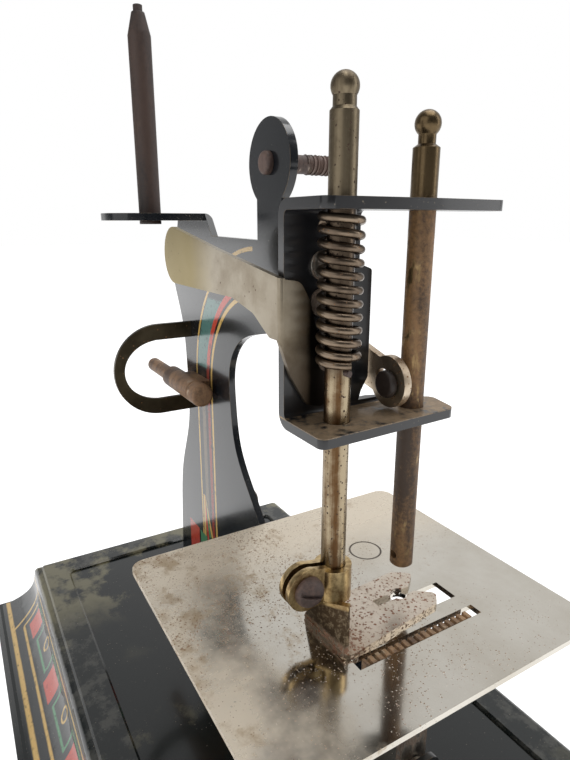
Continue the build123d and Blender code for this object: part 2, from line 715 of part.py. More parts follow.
# ---------------------------------------------------------------- spool pin, screw, loop, spindle
def make_spool_pin():
    nib_r = 1.0
    cone_z = spool_top - 6.0
    pin = rod_z(tab_x, spool_y, tab_top, cone_z, spool_r)
    pin += Pos(tab_x, spool_y, cone_z + 2.3) * Cone(spool_r, nib_r + 0.4, 4.6)
    pin += rod_z(tab_x, spool_y, cone_z + 4.6, spool_top, nib_r)
    pin += rod_z(tab_x, spool_y, tab_top - plate_t, tab_top, spool_r * 0.6)
    return pin + rod_z(tab_x, spool_y, tab_top - plate_t - 0.8, tab_top - plate_t, spool_r)


def make_tension_screw():
    far = plate_y + plate_t
    screw = rod_y(disc_x, far, screw_end, disc_z, screw_r)
    screw = chamfer(screw.edges().sort_by(Axis.Y)[-1], 0.5)
    screw += rod_y(disc_x, plate_y, far, disc_z, screw_neck_r)
    head = rod_y(disc_x, plate_y - 1.3, plate_y, disc_z, screw_neck_r + 0.6)
    return screw + fillet(head.edges().sort_by(Axis.Y)[0], 0.7)


def make_guard_loop():
    """Flat loop standing off the pillar, broad at its legs and narrow at its nose."""
    root = plate_y
    centre = root - loop_reach + loop_half
    outer = Pos(centre, loop_z) * Circle(loop_half)
    outer += Pos((centre + root) / 2, loop_z) * Rectangle(root - centre, 2 * loop_half)
    inner_half = loop_half - loop_leg
    inner = Pos(centre, loop_z) * Ellipse(loop_half - loop_leg * 0.64, inner_half)
    inner += Pos((centre + root) / 2, loop_z) * Rectangle(root - centre + 2, 2 * inner_half)
    keep = Pos(root - loop_reach, loop_z) * Rectangle(2 * loop_reach, 3 * loop_half)
    return sheet_yz((outer - inner) & keep, loop_x - loop_t / 2, loop_x + loop_t / 2)


def make_spindle_sleeve():
    """Bearing tube on the near face of the pillar, with a flat saddle against the plate."""
    sleeve = rod_x(sleeve_x0, sleeve_x1, spindle_y, spindle_z, sleeve_r)
    sleeve += block(loop_x + loop_t, sleeve_x1, spindle_y, plate_y, spindle_z - 2.4, spindle_z + 2.4)
    return sleeve - rod_x(sleeve_x0 - 1, sleeve_x1 + 1, spindle_y, spindle_z, journal_r + fit)


def make_drive_spindle():
    spindle = rod_x(spindle_x0, sleeve_x0 - gap, spindle_y, spindle_z, spindle_r)
    spindle = fillet(spindle.edges().sort_by(Axis.X)[0], 0.9)
    spindle += rod_x(sleeve_x0 - gap, sleeve_x1 + 0.2, spindle_y, spindle_z, journal_r)
    head = rod_x(sleeve_x1 + 0.2, sleeve_x1 + 0.2 + spindle_head_t, spindle_y, spindle_z,
                 spindle_head_r)
    head = fillet(head.edges().sort_by(Axis.X)[-1], 1.0)
    return spindle + head


pieces = {
    "base_pan": make_base_pan,
    "body_plate": make_body_plate,
    "foot_rivets": make_foot_rivets,
    "head_bracket": make_head_bracket,
    "head_rivets": make_head_rivets,
    "cloth_plate": make_cloth_plate,
    "plate_post": make_plate_post,
    "needle_bar": make_needle_bar,
    "needle_stud": make_needle_stud,
    "needle_lever": make_needle_lever,
    "lever_pivot": make_lever_pivot,
    "lever_rod": make_lever_rod,
    "rod_pin": make_rod_pin,
    "presser_bar": make_presser_bar,
    "presser_spring": make_presser_spring,
    "spring_pin": make_cross_pin,
    "presser_foot": make_presser_foot,
    "foot_screw": make_foot_screw,
    "lifter_lever": make_lifter_lever,
    "lifter_pin": make_lifter_pin,
    "main_shaft": make_main_shaft,
    "crank_disc": make_crank_disc,
    "looper": make_looper,
    "bearing_rear": lambda: make_bearing(bearing_xs[0]),
    "bearing_front": lambda: make_bearing(bearing_xs[1]),
    "feed_dog": make_feed_dog,
    "feed_lever": make_feed_lever,
    "feed_bracket": make_feed_bracket,
    "feed_rivets": make_feed_rivets,
    "feed_pin": make_feed_pin,
    "spool_pin": make_spool_pin,
    "tension_screw": make_tension_screw,
    "guard_loop": make_guard_loop,
    "spindle_sleeve": make_spindle_sleeve,
    "drive_spindle": make_drive_spindle,
}

for name, make in pieces.items():
    export_step(make(), f"parts/{name}.step")
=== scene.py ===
# %% [markdown]
# # A toy sewing machine in stamped tin
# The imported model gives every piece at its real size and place. This file dresses it:
# rounded edges, a wound spring, a cut thread, enamel with gold lines, nickel with rust.
# Everything is in metres, with +X towards the needle, +Y to the far side and +Z up.

# %% Load the model
import json
import math

import bmesh
import bpy
from mathutils import Matrix, Vector

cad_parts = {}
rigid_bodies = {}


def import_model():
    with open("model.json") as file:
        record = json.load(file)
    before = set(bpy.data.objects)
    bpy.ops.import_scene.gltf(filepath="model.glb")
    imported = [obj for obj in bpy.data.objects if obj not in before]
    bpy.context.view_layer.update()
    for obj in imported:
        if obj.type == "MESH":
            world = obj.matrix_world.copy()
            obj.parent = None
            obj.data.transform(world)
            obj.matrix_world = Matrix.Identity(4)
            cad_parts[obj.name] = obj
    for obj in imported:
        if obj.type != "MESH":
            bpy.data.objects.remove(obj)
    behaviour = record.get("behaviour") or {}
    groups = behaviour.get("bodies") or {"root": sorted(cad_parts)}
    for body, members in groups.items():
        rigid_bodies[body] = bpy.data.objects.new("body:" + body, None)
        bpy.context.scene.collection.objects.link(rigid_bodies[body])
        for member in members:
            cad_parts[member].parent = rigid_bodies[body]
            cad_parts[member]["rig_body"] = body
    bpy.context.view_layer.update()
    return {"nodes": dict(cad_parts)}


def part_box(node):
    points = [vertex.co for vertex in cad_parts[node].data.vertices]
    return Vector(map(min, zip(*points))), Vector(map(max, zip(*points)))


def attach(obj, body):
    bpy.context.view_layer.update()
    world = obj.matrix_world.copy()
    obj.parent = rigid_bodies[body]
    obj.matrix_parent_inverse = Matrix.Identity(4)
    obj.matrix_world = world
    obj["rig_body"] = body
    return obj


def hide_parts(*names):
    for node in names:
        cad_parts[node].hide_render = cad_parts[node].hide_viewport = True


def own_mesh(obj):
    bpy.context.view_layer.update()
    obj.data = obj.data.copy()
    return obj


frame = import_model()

mm = 0.001
print("pieces in the model:", len(frame["nodes"]))

# %% [markdown]
# ## The camera
# A camera is placed by its spot and two turns. One looks down by the pitch, the other
# turns about the upright axis. The lens is measured against the sensor's height, because
# the picture is taller than it is wide. An object is only seen once it is linked to the
# scene's collection, so a small helper does that here and further down.

# %% Camera
camera_spot = (98.0 * mm, -52.8 * mm, 118.8 * mm)
camera_pitch = math.radians(15.594)
camera_turn = math.radians(59.64)
focal_length = 26.98
sensor_height = 36.0
nearest_seen = 5 * mm


def into_scene(thing):
    """Link an object to the scene and hand it back."""
    bpy.context.scene.collection.objects.link(thing)
    return thing


camera_data = bpy.data.cameras.new("view")
camera_data.sensor_fit = "VERTICAL"
camera_data.sensor_height = sensor_height
camera_data.lens = focal_length
camera_data.clip_start = nearest_seen
camera = into_scene(bpy.data.objects.new("view", camera_data))
camera.location = camera_spot
camera.rotation_euler = (math.pi / 2 - camera_pitch, 0.0, camera_turn)
bpy.context.scene.camera = camera
print("camera at", camera_spot)

# %% [markdown]
# ## One way to make any node
# Materials, the world and Geometry Nodes are all graphs of nodes. A node's settings, such
# as the operation of a Math node, decide which sockets it has, so they are set first. Then
# each socket gets either a plain value or a wire from another node.

# %% Make a node
def add_node(tree, kind, settings=None, sockets=None, out=0):
    """Make a node, set it, feed its sockets, and return one of its outputs."""
    made = tree.nodes.new(kind)
    for name, value in (settings or {}).items():
        setattr(made, name, value)
    for name, value in (sockets or {}).items():
        for one in value if isinstance(value, list) else [value]:
            if isinstance(one, bpy.types.NodeSocket):
                tree.links.new(one, made.inputs[name])
            else:
                made.inputs[name].default_value = one
    return made.outputs[out] if len(made.outputs) else None


print("node maker ready")

# %% [markdown]
# ## Shader maths as plain expressions
# Written node by node, a material is hard to read. So one small class wraps a socket:
# `1 - mask` or `a * b` then adds the Math nodes by itself. A second class holds one
# material, and has a short method for each kind of node that these finishes need.

# %% Sockets that can be added and multiplied
class Link:
    """One output socket of a material. Arithmetic on it adds Math nodes."""

    def __init__(self, finish, socket):
        self.finish = finish
        self.socket = socket

    def maths(self, operation, *values):
        """A Math node over one or two values."""
        return self.finish.node("ShaderNodeMath", {"operation": operation}, dict(enumerate(values)))

    def __add__(self, other):
        return self.maths("ADD", self, other)

    __radd__ = __add__

    def __sub__(self, other):
        return self.maths("SUBTRACT", self, other)

    def __rsub__(self, other):
        return self.maths("SUBTRACT", other, self)

    def __mul__(self, other):
        return self.maths("MULTIPLY", self, other)

    __rmul__ = __mul__

    def __truediv__(self, other):
        return self.maths("DIVIDE", self, other)

    def __pow__(self, other):
        return self.maths("POWER", self, other)

    def __abs__(self):
        return self.maths("ABSOLUTE", self)

    def max(self, other):
        return self.maths("MAXIMUM", self, other)

    def fraction(self):
        return self.maths("FRACT", self)


def either(first, *others):
    """The larger of several masks: what any one of them covers."""
    for mask in others:
        first = first.max(mask)
    return first


print("socket maths ready")


# %% A material that is built by method calls
class Finish:
    """One material. Its x, y and z are the place of a point, in metres."""

    def __init__(self, name):
        self.material = bpy.data.materials.new(name)
        self.material.use_nodes = True
        self.tree = self.material.node_tree
        self.tree.nodes.clear()
        self.place = self.node("ShaderNodeTexCoord", out="Object")
        self.x, self.y, self.z = [
            self.node("ShaderNodeSeparateXYZ", {}, {0: self.place}, out=axis) for axis in range(3)]

    def node(self, kind, settings=None, sockets=None, out=0):
        """Make any node of this material, fed by links or by plain values."""
        feeds = {name: value.socket if isinstance(value, Link) else value
                 for name, value in (sockets or {}).items()}
        return Link(self, add_node(self.tree, kind, settings, feeds, out))

    def noise(self, scale, detail, rough, place=None, out="Fac"):
        """Cloudy noise from 0 to 1. The scale counts its lumps in a metre."""
        sockets = {"Vector": place or self.place, "Scale": scale,
                   "Detail": detail, "Roughness": rough}
        return self.node("ShaderNodeTexNoise", {}, sockets, out=out)

    def cells(self, scale, out="Distance", place=None):
        """Voronoi cells: the distance to the nearest centre, or the cell's random colour."""
        sockets = {"Vector": place or self.place, "Scale": scale}
        return self.node("ShaderNodeTexVoronoi", {}, sockets, out=out)

    def step(self, value, low, high):
        """0 below low, 1 above high, and a smooth rise between."""
        sockets = {"Value": value, "From Min": low, "From Max": high}
        settings = {"interpolation_type": "SMOOTHSTEP"}
        return self.node("ShaderNodeMapRange", settings, sockets)

    def band(self, value, middle, half, soft):
        """1 inside a stripe, with soft edges."""
        return 1.0 - self.step(abs(value - middle), half - soft, half + soft)

    def mix(self, share, first, second):
        """Blend two colours."""
        first = first if isinstance(first, Link) else (*first, 1.0)
        second = second if isinstance(second, Link) else (*second, 1.0)
        settings = {"data_type": "RGBA", "clamp_factor": True}
        return self.node("ShaderNodeMix", settings, {0: share, 6: first, 7: second}, out=2)

    def stretched(self, sx, sy, sz):
        """Object coordinates scaled along the axes, for streaks."""
        return self.node("ShaderNodeMapping", {}, {"Vector": self.place, "Scale": (sx, sy, sz)})

    def red_of(self, colour):
        """A number read from a colour's red channel."""
        return self.node("ShaderNodeSeparateColor", {}, {0: colour}, out=0)

    def surface(self, colour, roughness, metallic=0.0, relief=None, depth=0.03 * mm, **constants):
        """Close the material with a Principled surface and, if given, a relief in metres."""
        sockets = {"Base Color": colour, "Roughness": roughness, "Metallic": metallic}
        if relief is not None:
            bump = {"Height": relief, "Distance": depth, "Strength": 1.0}
            sockets["Normal"] = self.node("ShaderNodeBump", {}, bump)
        sockets.update({name.replace("_", " "): value for name, value in constants.items()})
        shader = self.node("ShaderNodeBsdfPrincipled", {}, sockets)
        self.node("ShaderNodeOutputMaterial", {}, {"Surface": shader})
        return self.material


print("material helper ready")

# %% [markdown]
# ## Rust
# Plated steel rusts at pin holes in its plating. The specks are Voronoi cells: every cell
# has a dot whose size comes from that cell's random colour, and a broad noise decides
# where dots are dense. Two sizes of cell together look like real freckles. The place that
# the cells read is bent by a fine noise first, or the dots would be perfect circles.

# %% Rust specks and rust colours
rust_dark = (0.090, 0.040, 0.018)
rust_light = (0.340, 0.180, 0.075)
speck_bend = 0.45
bend_fineness = 1.7


def specks(finish, scale, dense, low=0.10, high=0.30):
    """Share of rust from dots, one in each cell at most, where dense (0 to 1) allows them."""
    warp = finish.noise(scale * bend_fineness, detail=2.0, rough=0.6, out="Color")
    bent = finish.node("ShaderNodeVectorMath", {"operation": "MULTIPLY_ADD"},
                       {0: warp, 1: (speck_bend / scale,) * 3, 2: finish.place})
    distance = finish.cells(scale, place=bent)
    luck = finish.red_of(finish.cells(scale, out="Color", place=bent))
    growth = (high - low) / 0.5
    size = (luck + dense - 1.0).max(0.0) * growth + low
    keep = finish.step(luck + dense, 0.98, 1.02)
    return (1.0 - finish.step(distance - size, -0.05, 0.06)) * keep


def rust_colour(finish):
    """Rust that wanders between dark and light brown."""
    return finish.mix(finish.noise(1500.0, detail=4.0, rough=0.65), rust_dark, rust_light)


print("rust ready, from", rust_dark, "to", rust_light)

# %% [markdown]
# ## Plated metal
# The needle lever, the loop, the spring wire and the cloth plate's rounded edge are thinly
# plated, tarnished in clouds and freckled. Metal takes its colour from the metallic base
# colour, and rust is not metallic, so one mask drives colour, metallic, roughness and
# relief together.

# %% Plated metal that rusts
def plated(name, clean, tarnish, rust_amount, rough):
    """Nickel or brass plate: a clean colour, a tarnish and freckles of rust."""
    finish = Finish(name)
    broad = finish.noise(38.0, detail=4.0, rough=0.6)
    dense = (broad - 0.5) * 1.5 + rust_amount
    fine = specks(finish, 2100.0, dense, low=0.14, high=0.34)
    large = specks(finish, 900.0, dense - 0.14, low=0.10, high=0.30)
    rust = either(fine, large)
    shade = finish.step(finish.noise(90.0, detail=5.0, rough=0.6), 0.35, 0.75)
    metal = finish.mix(shade, clean, tarnish)
    colour = finish.mix(rust, metal, rust_colour(finish))
    along_x = finish.stretched(0.15, 1.0, 1.0)
    scuffs = finish.noise(600.0, detail=3.0, rough=0.6, place=along_x)
    roughness = rough + scuffs * 0.10 + shade * 0.10 + rust * 0.45
    relief = rust * 0.8 + finish.noise(1300.0, detail=3.0, rough=0.5) * 0.06
    return finish.surface(colour, roughness, 1.0 - rust, relief, depth=0.03 * mm)


lever_finish = plated("needle_lever_nickel", clean=(0.75, 0.66, 0.52), tarnish=(0.40, 0.31, 0.22),
                      rust_amount=0.40, rough=0.26)
edge_nickel = plated("plate_edge", clean=(0.24, 0.20, 0.15), tarnish=(0.09, 0.062, 0.040),
                     rust_amount=0.44, rough=0.30)
loop_finish = plated("loop_brass", clean=(0.085, 0.070, 0.045), tarnish=(0.035, 0.028, 0.018),
                     rust_amount=0.12, rough=0.36)
spring_finish = plated("spring_wire", clean=(0.26, 0.20, 0.145), tarnish=(0.036, 0.024, 0.018),
                       rust_amount=0.30, rough=0.24)
print("plated finishes ready")

# %% [markdown]
# ## The presser bar
# The bar is dark inside its spring, partly for its rust and partly as painted shade, and
# above the shelf it has a darker tone that is painted shade. The height of a point picks
# between the metals, and a noise frays the border between them. Streaks run down the bar,
# so their noise is squeezed across the bar and drawn out along it.

# %% Presser bar finish
def presser_bar_finish():
    finish = Finish("presser_nickel")
    nickel, brown_nickel = (0.35, 0.285, 0.190), (0.115, 0.062, 0.028)
    top_shade_nickel, top_shade_stain = (0.20, 0.162, 0.108), (0.10, 0.077, 0.050)
    painted_shade_tone = (0.055, 0.038, 0.028)
    down_bar = finish.stretched(420.0, 420.0, 14.0)
    streak = finish.noise(1.0, detail=4.0, rough=0.6, place=down_bar)
    mottle = finish.noise(420.0, detail=5.0, rough=0.65)
    shelf_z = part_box("head_bracket")[1].z
    spring_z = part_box("presser_spring")[0].z
    frayed = finish.z + (mottle - 0.5) * 2 * mm
    # Above the shelf the bar is painted a darker tone as shade.
    above = finish.step(frayed, shelf_z - 0.5 * mm, shelf_z + 0.5 * mm)
    # Inside the spring the bar is painted dark: partly its rust, partly painted shade.
    inside = finish.step(finish.z, spring_z - 2.5 * mm, spring_z + 1 * mm) * (1.0 - above)
    stain = finish.step(streak * 0.75 + mottle * 0.25, 0.44, 0.62)
    low_metal = finish.mix(stain, nickel, brown_nickel)
    top_metal = finish.mix(stain, top_shade_nickel, top_shade_stain)
    metal = finish.mix(above, low_metal, top_metal)
    metal = finish.mix(inside * 0.9, metal, painted_shade_tone)
    rust = specks(finish, 1700.0, 0.42, low=0.12, high=0.30)
    colour = finish.mix(rust, metal, (0.050, 0.024, 0.012))
    roughness = 0.17 + above * 0.16 + mottle * 0.12 + stain * 0.10 + rust * 0.3
    relief = rust + mottle * 0.12
    return finish.surface(colour, roughness, 1.0 - rust * 0.8, relief, depth=0.02 * mm)


presser_finish = presser_bar_finish()
print("presser bar finish ready")

# %% [markdown]
# ## The presser foot
# The foot is one folded strip, but it shows three metals: a nickel sole with rusty flecks,
# a folded wall, dark with its brown metal and with painted shade, and a brassy clamp round
# the bar. They are told apart by height, with a ragged border above the sole. The heel,
# where the wall meets the sole, is painted darker as shadow and has a few more flecks.

# %% Presser foot finish
def presser_foot_finish():
    finish = Finish("foot_nickel")
    low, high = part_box("presser_foot")
    grit = finish.noise(1100.0, detail=5.0, rough=0.72)
    cloud = finish.noise(300.0, detail=5.0, rough=0.66)
    ragged = finish.z + (cloud - 0.5) * 0.8 * mm
    wall = finish.step(ragged, low.z + 1.1 * mm, low.z + 1.9 * mm)
    clamp = finish.step(finish.z, low.z + 5.9 * mm, low.z + 6.3 * mm)
    sole_metal = finish.mix(cloud, (0.74, 0.68, 0.60), (0.44, 0.35, 0.26))
    # The wall's dark tone is partly its brown metal and partly painted shade.
    wall_metal_and_shade = finish.mix(finish.step(grit, 0.45, 0.65),
                            (0.075, 0.050, 0.030), (0.26, 0.20, 0.13))
    clamp_metal = finish.mix(finish.step(grit * 0.5 + cloud * 0.5, 0.40, 0.62),
                             (0.66, 0.50, 0.26), (0.26, 0.17, 0.08))
    from_heel = finish.y + (cloud - 0.5) * 12 * mm
    heel_shadow_and_rust = 1.0 - finish.step(from_heel, low.y + 7 * mm, low.y + 16 * mm)
    flecks = finish.step(grit + heel_shadow_and_rust * 0.05, 0.55, 0.62) * 0.85
    flecks = either(flecks, specks(finish, 1700.0, 0.62, low=0.14, high=0.38))
    fleck_colour = finish.mix(cloud, (0.33, 0.15, 0.075), (0.11, 0.045, 0.025))
    # The heel, where the wall meets the sole, is painted darker as shadow.
    sole = finish.mix(heel_shadow_and_rust * 0.55, sole_metal, (0.30, 0.19, 0.10))
    sole = finish.mix(flecks, sole, fleck_colour)
    colour = finish.mix(clamp, finish.mix(wall, sole, wall_metal_and_shade), clamp_metal)
    rusty = flecks * (1.0 - wall) * (1.0 - clamp)
    roughness = 0.26 + rusty * 0.35 + wall * (1.0 - clamp) * 0.20 + grit * 0.10
    return finish.surface(colour, roughness, 1.0 - rusty, rusty * 0.7 + grit * 0.2, depth=0.03 * mm)


foot_finish = presser_foot_finish()
print("presser foot finish ready")

# %% [markdown]
# ## The lifter
# Fingers have yellowed the paddle and the arm is cleaner. The leg inside the bracket is
# painted dark as shade, over all of it but its outer edge.

# %% Lifter finish
def lifter_lever_finish():
    finish = Finish("lifter_nickel")
    low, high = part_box("lifter_lever")
    thumbed, painted_shade_tone = (0.200, 0.150, 0.045), (0.012, 0.010, 0.009)
    cloud = finish.noise(150.0, detail=5.0, rough=0.62)
    from_end = finish.x + (cloud - 0.5) * 8 * mm
    far_end = 1.0 - finish.step(from_end, low.x + 13 * mm, low.x + 27 * mm)
    leg = finish.step(high.z - finish.z + (cloud - 0.5) * 5 * mm, 14 * mm, 21 * mm)
    corner = finish.step(finish.x, high.x - 8 * mm, high.x - 1 * mm)
    across_leg = finish.y + (cloud - 0.5) * 1.2 * mm
    shaded_side = finish.step(across_leg, low.y + 4.4 * mm, low.y + 5.6 * mm)
    metal = finish.mix(finish.step(cloud, 0.35, 0.7), (0.31, 0.272, 0.210), (0.225, 0.185, 0.130))
    metal = finish.mix(far_end, metal, thumbed)
    # A little darker towards the front corner; the leg and its far side are painted dark as shade.
    metal = finish.mix(corner * 0.15, metal, (0.16, 0.125, 0.085))
    metal = finish.mix(leg * corner * 0.70, metal, (0.060, 0.042, 0.030))
    metal = finish.mix(shaded_side * 0.93, metal, painted_shade_tone)
    rust = specks(finish, 1300.0, (cloud - 0.5) * 1.2 + 0.16, low=0.10, high=0.28)
    blot = finish.step(finish.noise(260.0, detail=4.0, rough=0.6), 0.68, 0.78) * far_end
    blotted = finish.mix(blot * 0.6, metal, (0.20, 0.11, 0.05))
    colour = finish.mix(rust, blotted, (0.10, 0.045, 0.02))
    roughness = 0.30 + cloud * 0.12 + rust * 0.35 + leg * 0.1
    return finish.surface(colour, roughness, 1.0 - rust, rust * 0.8 + cloud * 0.1, depth=0.03 * mm)


lifter_finish = lifter_lever_finish()
print("lifter finish ready")

# %% [markdown]
# ## The cloth plate
# Rolled steel with thin nickel, still bright enough to mirror the bars. Its freckles
# follow the plate: few at the far right, many at the near left. A dull film lies along the
# left and near edges, brown stains spread from there, and a fine dark ring marks where the
# end of the post sits flush in the plate. The ring is a band of the distance from the post.

# %% Cloth plate finish
def cloth_plate_finish():
    finish = Finish("plate_nickel")
    low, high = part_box("cloth_plate")
    near = 1.0 - (finish.y - low.y) / (high.y - low.y)
    left = 1.0 - (finish.x - low.x) / (high.x - low.x)
    broad = finish.noise(45.0, detail=4.0, rough=0.6)
    dense = near * 0.24 + left * 0.28 + (broad - 0.5) * 1.4 + 0.13
    fine = specks(finish, 2500.0, dense, low=0.12, high=0.36)
    large = specks(finish, 1250.0, dense - 0.14, low=0.08, high=0.30)
    crumbs = finish.noise(900.0, detail=5.0, rough=0.72) + (dense - 0.4) * 0.25
    fleck = finish.step(crumbs, 0.64, 0.72)
    rust = either(either(fine, large) * 0.8, fleck * 0.75)
    blots = finish.noise(160.0, detail=6.0, rough=0.7) + near * 0.16 + left * 0.06
    stain = finish.step(blots, 0.68, 0.86)
    post_low, post_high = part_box("plate_post")
    post_radius = (post_high.x - post_low.x) / 2
    from_x = finish.x - (post_low.x + post_high.x) / 2
    from_y = finish.y - (post_low.y + post_high.y) / 2
    from_post = (from_x * from_x + from_y * from_y) ** 0.5
    ring = finish.band(from_post, post_radius, 0.20 * mm, 0.12 * mm)
    rolled = finish.stretched(1.0, 0.08, 1.0)
    grain = finish.noise(500.0, detail=4.0, rough=0.6, place=rolled)
    haze = finish.step(finish.noise(60.0, detail=5.0, rough=0.62), 0.30, 0.80)
    from_left = finish.x + (broad - 0.5) * 22 * mm
    left_film = 1.0 - finish.step(from_left, low.x + 6 * mm, low.x + 30 * mm)
    near_film = finish.step(near + (haze - 0.5) * 0.25, 0.70, 1.0)
    film = either(left_film, near_film) * 0.88
    metal = finish.mix(haze, (0.62, 0.59, 0.53), (0.50, 0.46, 0.39))
    metal = finish.mix(film, metal, (0.72, 0.63, 0.50))
    metal = finish.mix(stain * 0.75, metal, (0.36, 0.26, 0.15))
    colour = finish.mix(rust, metal, rust_colour(finish))
    colour = finish.mix(ring * 0.85, colour, (0.035, 0.026, 0.018))
    dulled = stain * 0.16 + rust * 0.5 + ring * 0.3 + film * 0.2
    roughness = 0.06 + grain * 0.06 + haze * 0.04 + dulled
    not_metal = either(rust, film * 0.8)
    return finish.surface(colour, roughness, 1.0 - not_metal, rust * 0.8 + grain * 0.05,
                          depth=0.03 * mm)


plate_finish = cloth_plate_finish()
print("cloth plate finish ready")

# %% [markdown]
# ## Rusty steel
# The needle bar, the spool pin and the spindle have lost most of their plating. Here rust
# is the ground and the last bright metal shows through in small worn patches. The needle
# bar is still plated above the shelf, so the recipe takes a height from which it is whole,
# and there it paints the plating darker as shade.

# %% Rusted steel
def rusted(name, ground, dark, metal, bright, plated_from=None):
    """Rust with worn bright patches. Above plated_from the plating is whole, painted darker as
    shade.
    """
    finish = Finish(name)
    top_shade_brass = (0.060, 0.043, 0.024)
    lines = finish.noise(1.0, detail=5.0, rough=0.62, place=finish.stretched(150.0, 150.0, 30.0))
    grit = finish.noise(1600.0, detail=4.0, rough=0.7)
    brown = finish.mix(finish.step(lines * 0.7 + grit * 0.3, 0.38, 0.60), dark, ground)
    flattened = finish.stretched(1.0, 1.0, 0.45)
    patches = finish.noise(520.0, detail=5.0, rough=0.68, place=flattened)
    worn = finish.step(patches + (lines - 0.5) * 0.5, 0.66 - bright * 0.2, 0.76 - bright * 0.2)
    above = None
    if plated_from is not None:
        frayed = finish.z + (grit - 0.5) * 4 * mm
        above = finish.step(frayed, plated_from - 2 * mm, plated_from)
        worn = either(worn, above)
    colour = finish.mix(worn, brown, finish.mix(grit * 0.7, metal, dark))
    # Above the shelf the plating is painted darker as shade.
    if above is not None:
        colour = finish.mix(above * 0.72, colour, top_shade_brass)
    roughness = 0.58 - worn * 0.28 + (grit - 0.5) * 0.15
    relief = grit * (1.0 - worn * 0.8)
    return finish.surface(colour, roughness, worn * 0.9, relief, depth=0.05 * mm)


print("rusted steel recipe ready")

# %% The rusted pieces
shelf_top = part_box("head_bracket")[1].z
needle_finish = rusted("needle_bar_rust", ground=(0.260, 0.140, 0.055), dark=(0.045, 0.024, 0.012),
                       metal=(0.42, 0.290, 0.140), bright=0.50, plated_from=shelf_top + 1 * mm)
spool_finish = rusted("spool_pin_rust", ground=(0.050, 0.027, 0.019), dark=(0.018, 0.011, 0.009),
                      metal=(0.13, 0.09, 0.07), bright=0.10)
spindle_finish = rusted("spindle_rust", ground=(0.290, 0.165, 0.085), dark=(0.090, 0.052, 0.032),
                        metal=(0.45, 0.32, 0.20), bright=0.20)
dog_finish = rusted("feed_dog_rust", ground=(0.340, 0.205, 0.105), dark=(0.090, 0.050, 0.028),
                    metal=(0.60, 0.48, 0.33), bright=0.42)
screw_finish = rusted("fastener_rust", ground=(0.150, 0.095, 0.075), dark=(0.050, 0.032, 0.028),
                      metal=(0.36, 0.30, 0.25), bright=0.30)
stud_finish = rusted("stud_rust", ground=(0.030, 0.019, 0.014), dark=(0.010, 0.007, 0.006),
                     metal=(0.12, 0.09, 0.07), bright=0.10)
hidden_finish = rusted("works_steel", ground=(0.180, 0.130, 0.095), dark=(0.060, 0.045, 0.036),
                       metal=(0.50, 0.46, 0.40), bright=0.75)
print("rusted finishes ready")

# %% [markdown]
# ## Enamel
# The tin is printed black and stoved, so it is smooth and glossy, a little uneven and
# dusty. Every print is stamped through the same helper, which thins the ink where it has
# rubbed off. Chips at the edges are a second material that the bevels take, below.

# %% Enamel and inks
enamel_black = (0.0065, 0.0080, 0.0095)
enamel_green = (0.0060, 0.0110, 0.0095)
gold_ink = (0.620, 0.400, 0.120)
red_ink = (0.520, 0.060, 0.035)
green_ink = (0.070, 0.230, 0.110)
teal_ink = (0.085, 0.190, 0.170)
cream_ink = (0.300, 0.230, 0.150)
dust_colour = (0.22, 0.18, 0.13)
bare_tin, dark_tin = (0.46, 0.35, 0.23), (0.15, 0.10, 0.06)


def stamp(finish, colour, mask, ink, wear=0.85):
    """Print an ink over a colour, thinned where the print has rubbed off."""
    rubbed = finish.step(finish.noise(700.0, detail=4.0, rough=0.65), 0.28, 0.46)
    return finish.mix(mask * (rubbed * wear + (1.0 - wear)), colour, ink)


def close_enamel(finish, colour, worn=None, rough=0.13):
    """Gloss coat over printed enamel, with dull bare tin where it is worn."""
    haze = finish.noise(120.0, detail=5.0, rough=0.6)
    dust = specks(finish, 1500.0, (haze - 0.5) * 1.2 + 0.22, low=0.08, high=0.22)
    roughness = rough + haze * 0.10 + dust * 0.3
    relief = finish.noise(260.0, detail=3.0, rough=0.5) * 0.35 + dust * 0.15
    metal = 0.0
    colour = finish.mix(dust * 0.6, colour, dust_colour)
    if worn is not None:
        tin = finish.mix(finish.noise(900.0, detail=4.0, rough=0.7), bare_tin, dark_tin)
        colour = finish.mix(worn, colour, tin)
        roughness = roughness + worn * 0.35
        metal = worn * 0.7
    return finish.surface(colour, roughness, metal, relief, depth=0.02 * mm,
                          Coat_Weight=0.2, Coat_Roughness=0.07)


print("enamel and inks ready")

# %% [markdown]
# ## The printed body
# Gold lines follow the throat of the C. A line is drawn by distance: the shape of the
# throat is an upright, a quarter circle and a level run, so three cases give how far any
# point lies from it, and a band of that distance is a stripe.

# %% Distance from the throat
throat_centre = (-4.0 * mm, 79.0 * mm)
throat_radius = 22.5 * mm
arm_slope = 0.10
hair = 0.01 * mm


def throat_distance(finish):
    """Distance outside a line that climbs the pillar, turns and runs along the arm."""
    dx = throat_centre[0] - finish.x
    dz = finish.z - throat_centre[1]
    round_part = (dx * dx + dz * dz) ** 0.5 - throat_radius
    upright_part = dx - throat_radius
    level_part = dz - throat_radius + dx * arm_slope
    above = finish.step(dz, -hair, hair)
    left = finish.step(dx, -hair, hair)
    pillar_part = round_part * above + upright_part * (1.0 - above)
    return level_part * (1.0 - left) + pillar_part * left


print("throat at", throat_centre, "radius", throat_radius)

# %% [markdown]
# Only the near face of the sheet is printed, above the foot flange. The pillar has two gold
# lines with a teal and a cream panel between them, a red ribbon runs through the turn, and
# a stippled gold block lies along the arm. Under them four rays fan out over the foot of
# the pillar, each a stripe whose middle moves sideways as it goes down.

